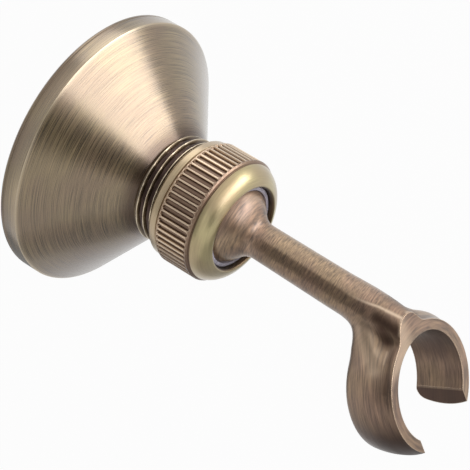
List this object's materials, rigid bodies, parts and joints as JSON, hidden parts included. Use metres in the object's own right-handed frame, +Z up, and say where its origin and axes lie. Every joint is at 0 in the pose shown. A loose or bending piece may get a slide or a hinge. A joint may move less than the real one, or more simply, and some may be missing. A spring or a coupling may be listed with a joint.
{
  "type": "hand shower holder",
  "caption": "Wall-mounted hand shower holder: conical rose, knurled clamping nut, ball-jointed arm and a C-shaped cradle open for the hose.",
  "frame": {"origin": "centre of the rose's wall face", "axes": "+Y into the wall, -Y out of it along the rose's axis, +Z up"},
  "size_m": [0.06, 0.0909, 0.0646],
  "materials": {
    "antique_brass": "brushed in turning lines, bronzed, lacquered",
    "yellow_brass": "satin, milled grip",
    "bronzed_brass": "cross brushed, bronzed",
    "zinc_plate": "zinc plated",
    "dark_steel": "blackened",
    "black_rubber": "matt",
    "grey_plastic": "matt"
  },
  "bodies": {
    "base": {"wall_plate": "zinc_plate", "flange_cone": "antique_brass", "set_screw": "dark_steel", "seat_washer": "black_rubber"},
    "cup": {"rear_seat": "grey_plastic"},
    "arm": {"ball_arm": "bronzed_brass"},
    "ring": {"front_seat": "grey_plastic"},
    "nut": {"knurled_nut": "yellow_brass"}
  },
  "joints": [
    {"name": "arm_swing", "type": "hinge", "parent": "base", "child": "cup", "pos_m": [0, -0.0343, 0], "axis": [0, -1, 0], "continuous": true},
    {"name": "arm_lean", "type": "hinge", "parent": "cup", "child": "arm", "pos_m": [0, -0.0343, 0], "axis": [0.8425, 0, 0.5388], "range_deg": [-42.1, 15.9]},
    {"name": "ring_travel", "type": "slide", "parent": "base", "child": "ring", "axis": [0, -1, 0], "range_m": [0, 0.0018]},
    {"name": "nut_turn", "type": "hinge", "parent": "ring", "child": "nut", "pos_m": [0, -0.0343, 0], "axis": [0, -1, 0], "range_deg": [0, 360]}
  ],
  "couplings": [
    {"joint": "nut_turn", "follows": "ring_travel", "rad_per_m": 3490.7}
  ]
}
